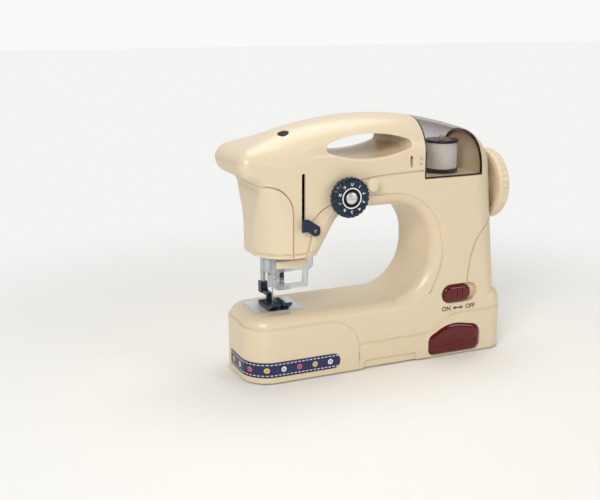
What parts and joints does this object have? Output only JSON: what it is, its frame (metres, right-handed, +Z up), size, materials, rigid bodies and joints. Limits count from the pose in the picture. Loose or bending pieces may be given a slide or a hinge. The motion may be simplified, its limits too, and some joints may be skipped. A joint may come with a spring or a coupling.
{
  "type": "toy sewing machine",
  "caption": "Toy sewing machine with a moulded casing, carrying slot, smoked thread compartment, drawer, handwheel, tension dial and a geared, belt-driven stitching head.",
  "frame": {"origin": "middle of the bounding box in X and Y, on the table under the rubber feet", "axes": "+X along the arm from the needle head to the handwheel, +Y from the operator's side to the rear, +Z up"},
  "size_m": [0.234, 0.0762, 0.1989],
  "materials": {
    "cream": "moulded, satin gloss",
    "cream_inner": "moulded, matt",
    "navy": "moulded, gloss",
    "strip_blue": "printed film, gloss",
    "red": "moulded, gloss",
    "smoked": "smoked clear plastic, polished",
    "clear": "clear plastic, polished",
    "steel": "drawn and brushed",
    "bright": "plated",
    "motor_can": "zinc plated",
    "alloy": "die cast",
    "brass": "machined",
    "gear_white": "moulded",
    "black": "moulded, matt",
    "board_green": "solder mask",
    "belt_rubber": "moulded",
    "foot_rubber": "moulded",
    "beige": "moulded",
    "thread": "spun thread"
  },
  "bodies": {
    "casing": {"front_shell": "cream", "rear_shell": "cream", "face_cover": "cream", "base_plate": "cream_inner", "battery_door": "cream_inner", "batteries": "black", "battery_contacts": "steel", "rubber_feet": "foot_rubber", "case_screws": "steel", "needle_plate": "bright", "finger_guard": "clear", "guard_clamp": "cream", "lamp": "clear", "circuit_board": "board_green", "switch_body": "black", "motor": "motor_can", "motor_cradle": "cream_inner", "shaft_bearings": "cream_inner", "lower_bearings": "cream_inner", "pedal_jack": "black", "label_strip": "strip_blue", "guide_post": "cream", "guide_clip": "steel", "spool_well": "cream_inner", "spool_spindle": "beige", "pin_sleeve": "cream_inner", "tension_stud": "steel", "tension_discs": "steel", "takeup_rail": "steel", "head_frame": "cream_inner", "lifter_bracket": "cream_inner", "drive_belt": "belt_rubber"},
    "upper_drive": {"main_shaft": "steel", "handwheel": "cream", "upper_pulley": "black", "crank_disc": "alloy"},
    "lower_drive": {"lower_shaft": "steel", "lower_pulley": "black", "drive_gear": "gear_white", "looper": "steel"},
    "motor_rotor": {"motor_pinion": "brass"},
    "needle_unit": {"needle_bar": "steel", "needle_yoke": "alloy", "needle_clamp": "steel", "clamp_screw": "steel", "needle": "steel"},
    "takeup": {"takeup_lever": "navy"},
    "presser": {"presser_bar": "steel", "presser_foot": "navy"},
    "lifter": {"presser_lifter": "navy"},
    "dial": {"tension_dial": "navy", "dial_cap": "bright"},
    "switch": {"switch_knob": "red"},
    "drawer": {"drawer_front": "red", "drawer_tray": "red"},
    "lid": {"spool_lid": "smoked"},
    "spool": {"thread_spool": "navy", "thread_core": "thread", "thread_winding": "thread"},
    "pin": {"spool_pin": "black"}
  },
  "joints": [
    {"name": "handwheel_spin", "type": "hinge", "parent": "casing", "child": "upper_drive", "pos_m": [-0.00001, 0.00337, 0.1355], "axis": [1, 0, 0], "continuous": true},
    {"name": "lower_spin", "type": "hinge", "parent": "casing", "child": "lower_drive", "pos_m": [-0.00001, 0.01137, 0.028], "axis": [1, 0, 0], "continuous": true},
    {"name": "motor_spin", "type": "hinge", "parent": "casing", "child": "motor_rotor", "pos_m": [0.07199, 0.01137, 0.048], "axis": [1, 0, 0], "continuous": true},
    {"name": "needle_slide", "type": "slide", "parent": "casing", "child": "needle_unit", "axis": [0, 0, 1], "range_m": [0, 0.022]},
    {"name": "takeup_slide", "type": "slide", "parent": "casing", "child": "takeup", "axis": [0, 0, 1], "range_m": [0, 0.034]},
    {"name": "presser_slide", "type": "slide", "parent": "casing", "child": "presser", "axis": [0, 0, 1], "range_m": [0, 0.0052]},
    {"name": "lifter_swing", "type": "hinge", "parent": "casing", "child": "lifter", "pos_m": [-0.06651, 0.02337, 0.08], "axis": [0, -1, 0], "range_deg": [0, 90]},
    {"name": "dial_turn", "type": "hinge", "parent": "casing", "child": "dial", "pos_m": [-0.03331, -0.02863, 0.141], "axis": [0, -1, 0], "range_deg": [0, 300]},
    {"name": "switch_slide", "type": "slide", "parent": "casing", "child": "switch", "axis": [1, 0, 0], "range_m": [0, 0.006]},
    {"name": "drawer_slide", "type": "slide", "parent": "casing", "child": "drawer", "axis": [0, -1, 0], "range_m": [0, 0.02]},
    {"name": "lid_swing", "type": "hinge", "parent": "casing", "child": "lid", "pos_m": [0.05799, 0.03692, 0.15055], "axis": [-1, 0, 0], "range_deg": [0, 90]},
    {"name": "spool_spin", "type": "hinge", "parent": "casing", "child": "spool", "pos_m": [0.06499, -0.00162, 0.16], "axis": [0, 0, 1], "continuous": true},
    {"name": "pin_lift", "type": "slide", "parent": "casing", "child": "pin", "axis": [0, 0, 1], "range_m": [0, 0.026]}
  ],
  "couplings": [
    {"joint": "lower_spin", "follows": "handwheel_spin", "ratio": 1},
    {"joint": "motor_spin", "follows": "handwheel_spin", "ratio": -3},
    {"joint": "takeup_slide", "follows": "needle_slide", "ratio": 1.5455},
    {"joint": "presser_slide", "follows": "lifter_swing", "m_per_rad": 0.00331}
  ]
}
